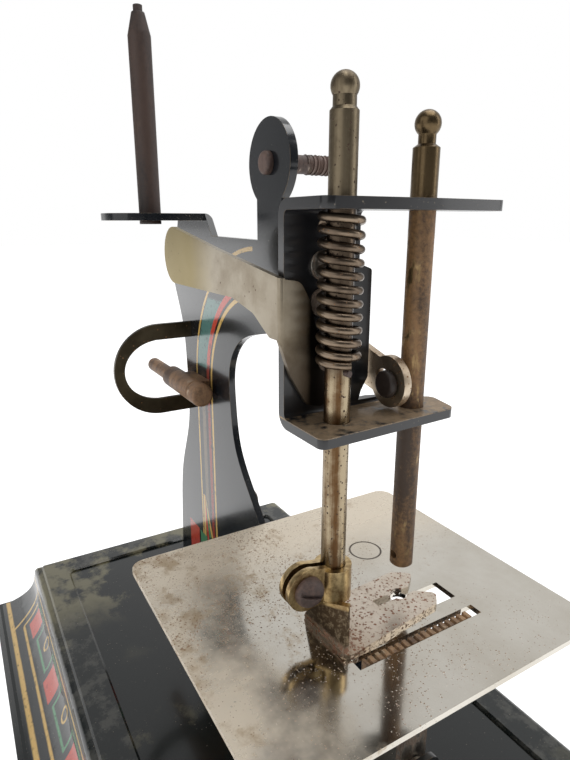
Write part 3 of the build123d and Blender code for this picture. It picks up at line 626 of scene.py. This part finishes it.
# %% Body plate finish
def body_plate_finish():
    finish = Finish("body_enamel")
    out = throat_distance(finish)
    soft = 0.14 * mm
    blue_black = (0.008, 0.010, 0.014)
    colour = finish.mix(finish.noise(30.0, detail=3.0, rough=0.5), enamel_black, blue_black)
    face = 1.0 - finish.step(finish.y, 0.6 * mm, 0.8 * mm)
    near_face = face * finish.step(finish.z, 18.4 * mm, 18.8 * mm)
    arm = finish.step(finish.x, -6.0 * mm, -5.5 * mm)
    pillar = near_face * (1.0 - arm)
    lower = 1.0 - finish.step(finish.z, 84 * mm, 84.5 * mm)

    panel_middle = 8.2 * mm
    teal = finish.band(out, panel_middle, 3.0 * mm, soft)
    teal = teal * finish.band(finish.z, 92 * mm, 9 * mm, 0.4 * mm)
    cream = finish.band(out, panel_middle, 1.1 * mm, soft)
    cream = cream * finish.band(finish.z, 58 * mm, 21 * mm, 6 * mm)
    ribbon = finish.band(out, 4.8 * mm, 0.85 * mm, soft) * (near_face - near_face * lower * 0.5)
    stipple = finish.step(finish.cells(2100.0), 0.26, 0.38)
    block = finish.band(out, 2.9 * mm, 2.0 * mm, soft) * near_face * arm * (1.0 - stipple * 0.65)
    colour = stamp(finish, colour, teal * pillar, teal_ink, wear=0.6)
    colour = stamp(finish, colour, cream * pillar * 0.5, cream_ink)
    colour = stamp(finish, colour, ribbon, red_ink)
    colour = stamp(finish, colour, block, gold_ink, wear=0.5)
    for middle, half in ((2.6 * mm, 0.50 * mm), (12.0 * mm, 0.42 * mm)):
        colour = stamp(finish, colour, finish.band(out, middle, half, soft) * pillar, gold_ink)

    fan_top, fan_x = 46 * mm, -37 * mm
    drop = (fan_top - finish.z).max(0.0)
    below = 1.0 - finish.step(finish.z, fan_top - 0.4 * mm, fan_top)
    for slope, ink in ((0.42, gold_ink), (0.27, green_ink), (0.13, red_ink), (-0.02, gold_ink)):
        ray = finish.band(finish.x - fan_x - drop * slope, 0.0, 0.62 * mm, soft)
        colour = stamp(finish, colour, ray * below * pillar, ink)

    foot = 1.0 - finish.step(finish.z, 33 * mm, 33.2 * mm)
    for middle, half, ink, wear in ((-45.5 * mm, 3.6 * mm, red_ink, 0.5),
                                    (-38.6 * mm, 2.4 * mm, green_ink, 0.6)):
        patch = finish.band(finish.x, middle, half, soft)
        colour = stamp(finish, colour, patch * foot * pillar, ink, wear)
    return close_enamel(finish, colour)


body_enamel = body_plate_finish()
print("body enamel ready")

# %% [markdown]
# ## The printed base
# The skirt carries a simple border: gold lines, and between them red blocks, small rings
# and a green line that steps up over each block. How far along a side a point lies, and
# how high, come from its place, so all four sides get the same border and it turns the
# corners by itself. The top has patches of marbling, mostly at its left end, and a
# mottled rim.

# %% Border of the base
flare = 13.8 * mm
beat_length = 26.0 * mm
ink_edge = 0.18 * mm


def gold_border(finish, end):
    """Gold lines, by height and by how far a point is from the end of its side."""
    frame_middle = 8.4 * mm
    inset = finish.step(end, 8 * mm, 8.2 * mm)
    tall = finish.band(finish.z, frame_middle, 5.6 * mm, ink_edge)
    short = finish.band(finish.z, frame_middle, 3.1 * mm, ink_edge)
    return either(finish.band(finish.z, 14.0 * mm, 0.40 * mm, ink_edge),
                  finish.band(finish.z, 2.8 * mm, 0.45 * mm, ink_edge),
                  finish.band(finish.z, 5.4 * mm, 0.30 * mm, ink_edge) * inset,
                  finish.band(end, 5.0 * mm, 0.42 * mm, ink_edge) * tall,
                  finish.band(end, 8.0 * mm, 0.35 * mm, ink_edge) * short)


def green_fret(finish, beat):
    """A line that runs low, and high over the middle of each beat."""
    raised = finish.band(beat, 0.5, 0.24, 0.004)
    riser = finish.band(abs(beat - 0.5), 0.24, 0.014, 0.006)
    return either(finish.band(finish.z, 12.3 * mm, 0.34 * mm, ink_edge) * raised,
                  finish.band(finish.z, 8.0 * mm, 0.34 * mm, ink_edge) * (1.0 - raised),
                  riser * finish.band(finish.z, 10.15 * mm, 2.45 * mm, ink_edge))


def gold_rings(finish, beat):
    """A small ring at each border between two beats."""
    sideways = abs(beat - 0.5) * beat_length - beat_length / 2
    upwards = finish.z - 10.9 * mm
    from_centre = (sideways * sideways + upwards * upwards) ** 0.5
    return finish.band(from_centre, 1.5 * mm, 0.28 * mm, ink_edge)


long_side = 2 * (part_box("base_pan")[1].x - flare)
print("beats on a long side:", round(long_side / beat_length, 1))

# %% Base finish
def base_pan_finish():
    finish = Finish("base_enamel")
    low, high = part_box("base_pan")
    moss, slate = (0.185, 0.170, 0.105), (0.105, 0.103, 0.090)
    half_x = high.x - flare
    half_y = high.y - flare
    beside_x = abs(finish.x) - half_x
    beside_y = abs(finish.y) - half_y
    on_end = finish.step(beside_x - beside_y, -0.05 * mm, 0.05 * mm)
    along = abs(finish.y) * on_end + abs(finish.x) * (1.0 - on_end)
    reach = half_y * on_end + half_x * (1.0 - on_end)
    end = reach - along
    colour = finish.mix(finish.noise(26.0, detail=4.0, rough=0.6), enamel_black, enamel_green)

    marble = finish.noise(75.0, detail=6.0, rough=0.62)
    frayed = finish.x + (marble - 0.5) * 30 * mm
    corner = 1.0 - finish.step(frayed, low.x + 38 * mm, low.x + 54 * mm)
    scattered = finish.step(finish.noise(20.0, detail=2.0, rough=0.5), 0.52, 0.60)
    veins = either(finish.step(marble, 0.47, 0.58) * corner,
                   finish.step(marble, 0.56, 0.68) * scattered * 0.5)
    rim = finish.step(either(beside_x, beside_y), -7.5 * mm, -6.5 * mm)
    mottle = finish.step(finish.noise(230.0, detail=5.0, rough=0.66), 0.44, 0.62) * rim
    top = finish.step(finish.z, 16.5 * mm, 17 * mm)
    colour = finish.mix(mottle * top * 0.5, colour, slate)
    colour = finish.mix(veins * top * 0.9, colour, moss)

    side = 1.0 - top
    panel = finish.step(end, 10 * mm, 10.2 * mm) * side
    beat = (end / beat_length).fraction()
    block = finish.band(beat, 0.5, 0.150, 0.006)
    block = block * finish.band(finish.z, 9.2 * mm, 2.3 * mm, ink_edge)
    colour = stamp(finish, colour, gold_border(finish, end) * side, gold_ink)
    colour = stamp(finish, colour, green_fret(finish, beat) * panel, green_ink)
    colour = stamp(finish, colour, block * panel, red_ink, wear=0.5)
    colour = stamp(finish, colour, gold_rings(finish, beat) * panel, gold_ink)
    return close_enamel(finish, colour, rough=0.10)


base_enamel = base_pan_finish()
print("base enamel ready")

# %% [markdown]
# ## The bracket and the chipped edges
# The bracket's shelves are rubbed to bare tin: the lower one almost everywhere, the upper
# one in spots. A narrow band of height picks the top face of each shelf. Sharp edges lose
# their enamel first, in broken stretches, and that is a material of its own.

# %% Bracket finish
def bracket_finish():
    finish = Finish("bracket_enamel")
    low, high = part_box("head_bracket")
    warm_black = (0.012, 0.011, 0.013)
    colour = finish.mix(finish.noise(40.0, detail=3.0, rough=0.5), enamel_black, warm_black)
    lower_shelf = low.z + 1.6 * mm
    rub = finish.noise(420.0, detail=5.0, rough=0.66)
    on_lower = finish.band(finish.z, lower_shelf, 0.14 * mm, 0.05 * mm)
    on_upper = finish.band(finish.z, high.z, 0.14 * mm, 0.05 * mm)
    worn = on_lower * finish.step(rub, 0.34, 0.50) + on_upper * finish.step(rub, 0.62, 0.74)
    return close_enamel(finish, colour, worn, rough=0.26)


bracket_enamel = bracket_finish()
print("bracket enamel ready")


# %% Chipped edge finish
def edge_finish():
    """Enamel that has rubbed through to brown tin, in broken stretches."""
    finish = Finish("rubbed_edge")
    edge_black = (0.010, 0.011, 0.013)
    rub = finish.noise(330.0, detail=5.0, rough=0.7)
    chipped = finish.step(rub, 0.44, 0.56)
    bare = finish.mix(finish.noise(1400.0, detail=4.0, rough=0.7),
                      (0.26, 0.20, 0.13), (0.07, 0.045, 0.03))
    colour = finish.mix(chipped, edge_black, bare)
    roughness = 0.22 + chipped * 0.22
    return finish.surface(colour, roughness, chipped * 0.8, chipped * -0.6, depth=0.03 * mm)


rubbed_edge = edge_finish()
print("edge finish ready")

# %% [markdown]
# ## Dressing a piece
# The model's meshes are loose triangles with razor edges. A copy is merged, its flat
# faces are joined again, and two live modifiers finish it: Bevel rounds the sharp edges
# and can give them their own material, and Weighted Normal keeps the flats flat.

# %% Make a dressed copy
merge_gap = 0.002 * mm
flat_within = math.radians(0.3)
sharp_from = math.radians(32.0)


def dress(node, finish, edge, width):
    """A merged and bevelled copy of a model piece, which stands for it."""
    body = frame["nodes"][node]["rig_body"]
    mesh = frame["nodes"][node].data.copy()
    mesh.name = node + "_dressed"
    mesh.materials.clear()
    mesh.materials.append(finish)
    mesh.materials.append(edge or finish)
    work = bmesh.new()
    work.from_mesh(mesh)
    bmesh.ops.remove_doubles(work, verts=work.verts, dist=merge_gap)
    bmesh.ops.dissolve_limit(work, angle_limit=flat_within, verts=work.verts, edges=work.edges)
    for face in work.faces:
        face.smooth = True
        face.material_index = 0
    work.to_mesh(mesh)
    work.free()
    mesh.set_sharp_from_angle(angle=sharp_from)
    piece = into_scene(bpy.data.objects.new(node + "_dressed", mesh))
    bevel = piece.modifiers.new("round", "BEVEL")
    bevel.width = width
    bevel.segments = 2
    bevel.limit_method = "ANGLE"
    bevel.angle_limit = sharp_from
    bevel.material = 1
    bevel.miter_outer = "MITER_ARC"
    weights = piece.modifiers.new("flats", "WEIGHTED_NORMAL")
    weights.keep_sharp = False
    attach(piece, body)
    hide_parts(node)
    return piece


# %% [markdown]
# ## What each piece wears
# One table says it all: a finish, a second finish for the rounded edges where they differ,
# and how wide the rounding is in millimetres. Whatever the table leaves out is a rivet, a
# pin or a part of the works, and gets plain steel. The spring and the tension screw come
# later.

# %% Dress every piece
outfit = {
    "base_pan": (base_enamel, rubbed_edge, 0.20),
    "body_plate": (body_enamel, rubbed_edge, 0.16),
    "head_bracket": (bracket_enamel, rubbed_edge, 0.36),
    "feed_bracket": (bracket_enamel, rubbed_edge, 0.12),
    "cloth_plate": (plate_finish, edge_nickel, 0.14),
    "plate_post": (plate_finish, screw_finish, 0.10),
    "needle_bar": (needle_finish, None, 0.10),
    "presser_bar": (presser_finish, None, 0.10),
    "presser_foot": (foot_finish, None, 0.14),
    "foot_screw": (screw_finish, None, 0.12),
    "lifter_lever": (lifter_finish, None, 0.12),
    "needle_lever": (lever_finish, None, 0.12),
    "needle_stud": (stud_finish, None, 0.12),
    "spring_pin": (screw_finish, None, 0.05),
    "spool_pin": (spool_finish, None, 0.12),
    "guard_loop": (loop_finish, None, 0.14),
    "spindle_sleeve": (spindle_finish, None, 0.20),
    "drive_spindle": (spindle_finish, None, 0.10),
    "feed_dog": (dog_finish, None, 0.04),
}
hidden_outfit = (hidden_finish, None, 0.08)
made_below = ("presser_spring", "tension_screw")
for node in frame["nodes"]:
    if node not in made_below:
        finish, edge, width = outfit.get(node, hidden_outfit)
        dress(node, finish, edge, width * mm)
print("dressed pieces:", len(frame["nodes"]) - len(made_below))

# %% [markdown]
# ## The spring, by Geometry Nodes
# A spring is a circle carried along a spiral. The tree has named inputs for its sizes and
# turns them into a mesh: Spiral, Curve to Mesh, Set Material. Its last turns lie closed,
# as on a real wound spring, because a second spiral of a fine pitch ends each side.

# %% A small helper for geometry trees
class Tree:
    """A Geometry Nodes tree with named sizes as its inputs."""

    def __init__(self, name, sizes):
        self.group = bpy.data.node_groups.new(name, "GeometryNodeTree")
        interface = self.group.interface
        self.sizes = {}
        for label, value in sizes.items():
            socket = interface.new_socket(label, in_out="INPUT", socket_type="NodeSocketFloat")
            self.sizes[socket.identifier] = value
        interface.new_socket("Geometry", in_out="OUTPUT", socket_type="NodeSocketGeometry")
        self.entry = self.group.nodes.new("NodeGroupInput")
        self.exit = self.group.nodes.new("NodeGroupOutput")

    def size(self, label):
        return self.entry.outputs[label]

    def node(self, kind, sockets, settings=None):
        return add_node(self.group, kind, settings, sockets)

    def bake(self, name, geometry, material, body, node, place, smooth):
        """Close the tree, run it once, and keep the result as a plain mesh piece."""
        solid = self.node("GeometryNodeRealizeInstances", {0: geometry})
        coloured = self.node("GeometryNodeSetMaterial", {0: solid, "Material": material})
        self.group.links.new(coloured, self.exit.inputs[0])
        empty_mesh = bpy.data.meshes.new(name + "_maker")
        maker = into_scene(bpy.data.objects.new(name + "_maker", empty_mesh))
        modifier = maker.modifiers.new("make", "NODES")
        modifier.node_group = self.group
        for identifier, value in self.sizes.items():
            modifier[identifier] = value
        depsgraph = bpy.context.evaluated_depsgraph_get()
        mesh = bpy.data.meshes.new_from_object(maker.evaluated_get(depsgraph))
        bpy.data.objects.remove(maker)
        mesh.name = name
        mesh.transform(place)
        mesh.polygons.foreach_set("use_smooth", [True] * len(mesh.polygons))
        mesh.set_sharp_from_angle(angle=math.radians(smooth))
        piece = into_scene(bpy.data.objects.new(name, mesh))
        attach(piece, body)
        if node:
            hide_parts(node)
        return piece


print("geometry tree helper ready")

# %% Sizes of the spring
spring_low, spring_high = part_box("presser_spring")
spring_height = spring_high.z - spring_low.z
wire = 0.62 * mm
open_turns = 9.6
steps_per_turn = 40
sides_of_wire = 14
coil_centre = (spring_low + spring_high) / 2
coil_radius = (spring_high.x - spring_low.x) / 2 - wire
coil_base = spring_low.z + wire
closed_height = 2 * wire * 1.02
open_height = spring_height - 2 * wire - 2 * closed_height
spring_tree = Tree("wound_spring", {
    "Radius": coil_radius, "Wire": wire, "Open height": open_height,
    "Closed height": closed_height, "Turns": open_turns,
})
print("coil radius", round(coil_radius / mm, 2), "open height", round(open_height / mm, 2))

# %% Wind the spring
def coil(tree, height, turns, lift):
    """A spiral of the coil's radius, raised to its level."""
    turn = tree.node("GeometryNodeCurveSpiral", {
        "Resolution": steps_per_turn, "Rotations": turns, "Start Radius": tree.size("Radius"),
        "End Radius": tree.size("Radius"), "Height": height})
    offset = tree.node("ShaderNodeCombineXYZ", {2: lift})
    return tree.node("GeometryNodeTransform", {0: turn, "Translation": offset})


whole = spring_tree.size("Open height")
closed = spring_tree.size("Closed height")
middle = coil(spring_tree, whole, spring_tree.size("Turns"), closed)
bottom = coil(spring_tree, closed, 1.0, 0.0)
top_level = spring_tree.node("ShaderNodeMath", {0: whole, 1: closed}, {"operation": "ADD"})
top = coil(spring_tree, closed, 1.0, top_level)
spin = 2 * math.pi * (open_turns % 1.0)
top = spring_tree.node("GeometryNodeTransform", {0: top, "Rotation": (0.0, 0.0, spin)})
wire_circle = spring_tree.node("GeometryNodeCurvePrimitiveCircle", {
    "Resolution": sides_of_wire, "Radius": spring_tree.size("Wire")})
bundle = spring_tree.node("GeometryNodeJoinGeometry", {0: [middle, bottom, top]})
wound = spring_tree.node("GeometryNodeCurveToMesh", {
    0: bundle, "Profile Curve": wire_circle, "Fill Caps": True})
spring_place = Matrix.Translation((coil_centre.x, coil_centre.y, coil_base))
spring = spring_tree.bake("wound_spring", wound, spring_finish, "presser", "presser_spring",
                          spring_place, smooth=40.0)
print("spring triangles:", len(spring.data.polygons) * 2)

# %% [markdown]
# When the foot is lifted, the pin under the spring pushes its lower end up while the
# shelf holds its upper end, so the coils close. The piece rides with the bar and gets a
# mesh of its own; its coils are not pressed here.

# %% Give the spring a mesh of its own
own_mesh(spring)

# %% [markdown]
# ## The thread of the tension screw, by Geometry Nodes
# A cut thread is a fine spiral ridge on a plain rod. The rod is the dressed model piece,
# narrowed to the thread's root, and the ridge is a spiral with a small diamond section.

# %% Narrow the rod to the thread's root
screw_low, screw_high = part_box("tension_screw")
screw_x = (screw_low.x + screw_high.x) / 2
screw_z = (screw_low.z + screw_high.z) / 2
head_over_thread = 0.3 * mm
thread_outer = (screw_high.x - screw_low.x) / 2 - head_over_thread
thread_pitch = 0.75 * mm
thread_depth = 0.34 * mm
thread_root = thread_outer - thread_depth
thread_start = 8.0 * mm
thread_end = screw_high.y - 0.5 * mm
thread_length = thread_end - thread_start
thread_turns = thread_length / thread_pitch

plain = dress("tension_screw", screw_finish, None, 0.1 * mm)
for vertex in plain.data.vertices:
    radial = Vector((vertex.co.x - screw_x, 0.0, vertex.co.z - screw_z))
    if vertex.co.y > thread_end - 1 * mm and radial.length > thread_root:
        radial.length = thread_root
        vertex.co.x = screw_x + radial.x
        vertex.co.z = screw_z + radial.z
print("thread root radius", round(thread_root / mm, 2))

# %% Cut the thread
steps_per_ridge = 28
thread_tree = Tree("cut_thread", {
    "Radius": thread_outer - thread_depth * 0.75, "Length": thread_length,
    "Turns": thread_turns, "Depth": thread_depth,
})
ridge = thread_tree.node("GeometryNodeCurveSpiral", {
    "Resolution": steps_per_ridge, "Rotations": thread_tree.size("Turns"),
    "Start Radius": thread_tree.size("Radius"), "End Radius": thread_tree.size("Radius"),
    "Height": thread_tree.size("Length")})
diamond = thread_tree.node("GeometryNodeCurvePrimitiveCircle", {
    "Resolution": 4, "Radius": thread_tree.size("Depth")})
cut = thread_tree.node("GeometryNodeCurveToMesh", {
    0: ridge, "Profile Curve": diamond, "Fill Caps": True})
lie_down = Matrix.Rotation(-math.pi / 2, 4, "X")
thread_place = Matrix.Translation((screw_x, thread_start, screw_z)) @ lie_down
thread = thread_tree.bake("screw_thread", cut, screw_finish, "frame_body", None,
                          thread_place, smooth=20.0)
print("thread turns:", round(thread_turns, 1))

# %% [markdown]
# ## The stage
# A pale floor and soft light. The world is bright ahead of the lens and dim behind it, as
# in a small light tent, so bright metal has something dark to mirror. The camera itself
# sees plain white. The floor glows, which keeps it nearly as pale as the backdrop.

# %% Floor
floor_reach = 3.0
floor_corners = [(-floor_reach, -floor_reach, 0), (floor_reach, -floor_reach, 0),
                 (floor_reach, floor_reach, 0), (-floor_reach, floor_reach, 0)]
floor_mesh = bpy.data.meshes.new("floor")
floor_mesh.from_pydata(floor_corners, [], [(0, 1, 2, 3)])
floor = into_scene(bpy.data.objects.new("floor", floor_mesh))
floor.location.z = -0.05 * mm
paper = Finish("floor_paper")
pale = paper.mix(paper.noise(3.0, detail=2.0, rough=0.5), (0.46, 0.46, 0.46), (0.50, 0.50, 0.50))
white = (1.0, 1.0, 1.0, 1.0)
floor_mesh.materials.append(
    paper.surface(pale, 0.9, Emission_Color=white, Emission_Strength=0.93))
print("floor laid")

# %% World
bright_side = (-0.62, 0.78, -0.12)
dim, bright = 0.08, 0.88
world = bpy.data.worlds.new("tent")
world.use_nodes = True
bpy.context.scene.world = world
sky = world.node_tree
sky.nodes.clear()
direction = add_node(sky, "ShaderNodeTexCoord", out="Generated")
facing = add_node(sky, "ShaderNodeVectorMath", {"operation": "DOT_PRODUCT"},
                  {0: direction, 1: bright_side}, out="Value")
glow = add_node(sky, "ShaderNodeMapRange", {"interpolation_type": "SMOOTHSTEP"},
                {"Value": facing, "From Min": -0.35, "From Max": 0.9,
                 "To Min": dim, "To Max": bright})
seen = add_node(sky, "ShaderNodeLightPath", out="Is Camera Ray")
strength = add_node(sky, "ShaderNodeMath", {"operation": "MAXIMUM"}, {0: glow, 1: seen})
backdrop = add_node(sky, "ShaderNodeBackground", {}, {"Color": white, "Strength": strength})
add_node(sky, "ShaderNodeOutputWorld", {}, {"Surface": backdrop})
print("world from", dim, "to", bright)

# %% Lamps
lamp_target = (0.0, 0.0, 0.07)
lamps = {  # name: spot, width, height, power
    "overhead": ((0.05, 0.10, 0.62), 0.50, 0.40, 2.0),
    "front_fill": ((0.12, -0.75, 0.45), 1.00, 0.80, 2.6),
    "left_panel": ((-0.48, -0.30, 0.06), 0.50, 0.10, 0.12),
    "right_strip": ((0.30, 0.42, 0.30), 0.16, 0.50, 0.5),
}
for name, (spot, width, height, power) in lamps.items():
    soft_light = bpy.data.lights.new(name, "AREA")
    soft_light.shape = "RECTANGLE"
    soft_light.size = width
    soft_light.size_y = height
    soft_light.energy = power
    lamp = into_scene(bpy.data.objects.new(name, soft_light))
    lamp.location = spot
    aim = Vector(lamp_target) - Vector(spot)
    lamp.rotation_euler = aim.to_track_quat("-Z", "Y").to_euler()
bpy.context.scene.view_settings.view_transform = "Standard"
print("lamps:", len(lamps))
